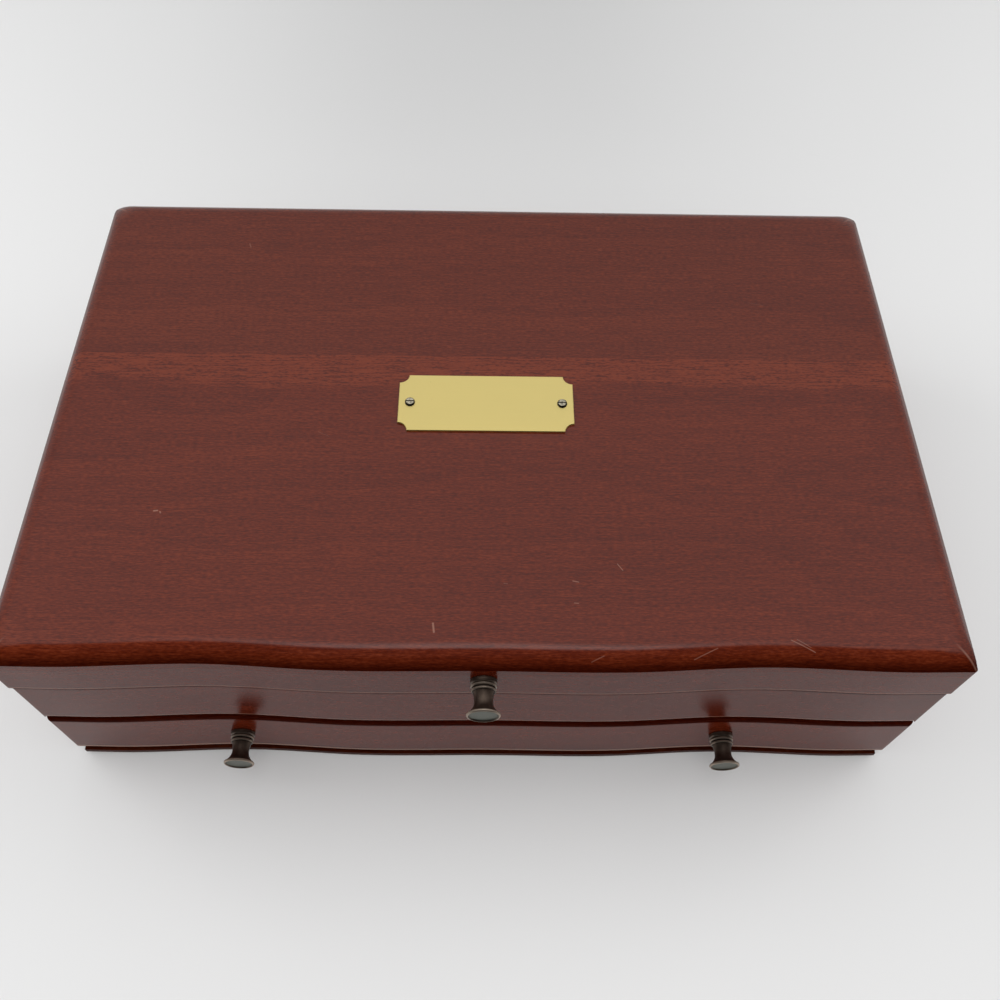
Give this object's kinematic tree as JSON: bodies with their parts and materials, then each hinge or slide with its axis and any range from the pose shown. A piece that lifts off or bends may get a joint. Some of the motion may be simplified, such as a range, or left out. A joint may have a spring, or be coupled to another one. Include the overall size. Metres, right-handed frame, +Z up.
{
  "type": "silverware chest",
  "caption": "Low wooden silverware chest with a hinged lid, knife racks, lined rack tray, serpentine front, turned knobs, brass plate and one lined drawer.",
  "frame": {"origin": "middle of the underside, on the surface the chest stands on", "axes": "+Z up, front with the knobs towards -Y, +X to the right seen from the front"},
  "size_m": [0.4, 0.2829, 0.1221],
  "materials": {
    "mahogany": "satin lacquered mahogany stain",
    "drawer_wood": "pale hardwood, clear sealed",
    "felt": "brown wool felt",
    "cloth": "brown flannel cloth over card",
    "brass": "satin brushed brass, lacquered",
    "bronze": "antiqued bronze",
    "steel": "bright zinc plated steel"
  },
  "bodies": {
    "case": {"base_felt": "felt", "base_board": "mahogany", "case_front": "mahogany", "case_side_left": "mahogany", "case_side_right": "mahogany", "case_back": "mahogany", "tray_floor": "mahogany", "drawer_kicker_left": "drawer_wood", "drawer_kicker_right": "drawer_wood", "tray_lining_floor": "cloth", "tray_lining_walls": "cloth", "tray_divider_left": "cloth", "tray_divider_right": "cloth", "rack_strip_front": "cloth", "rack_strip_rear": "cloth", "rack_fins_front": "cloth", "rack_fins_rear": "cloth", "case_hinge_leaf_left": "brass", "case_hinge_leaf_right": "brass", "hinge_pin_left": "brass", "hinge_pin_right": "brass", "case_hinge_screws": "brass"},
    "lid": {"lid_board_front": "mahogany", "lid_board_rear": "mahogany", "lid_rail_front": "mahogany", "lid_rail_back": "mahogany", "lid_rail_left": "mahogany", "lid_rail_right": "mahogany", "lid_pad": "cloth", "knife_handle_strip": "cloth", "knife_handle_fins": "cloth", "knife_blade_strip": "cloth", "knife_blade_fins": "cloth", "name_plate": "brass", "plate_screws": "brass", "lid_knob": "bronze", "lid_knob_bolt": "steel", "lid_hinge_leaf_left": "brass", "lid_hinge_leaf_right": "brass", "lid_hinge_screws": "brass"},
    "drawer": {"drawer_front": "mahogany", "drawer_side_left": "drawer_wood", "drawer_side_right": "drawer_wood", "drawer_back": "drawer_wood", "drawer_bottom": "drawer_wood", "drawer_lining_floor": "cloth", "drawer_lining_walls": "cloth", "drawer_divider_long": "cloth", "drawer_divider_left": "cloth", "drawer_divider_right": "cloth", "drawer_knob_left": "bronze", "drawer_knob_right": "bronze", "drawer_knob_bolts": "steel"}
  },
  "joints": [
    {"name": "lid_hinge", "type": "hinge", "parent": "case", "child": "lid", "pos_m": [0, 0.1335, 0.0872], "axis": [-1, 0, 0], "range_deg": [0, 100]},
    {"name": "drawer_slide", "type": "slide", "parent": "case", "child": "drawer", "axis": [0, -1, 0], "range_m": [0, 0.19]}
  ]
}
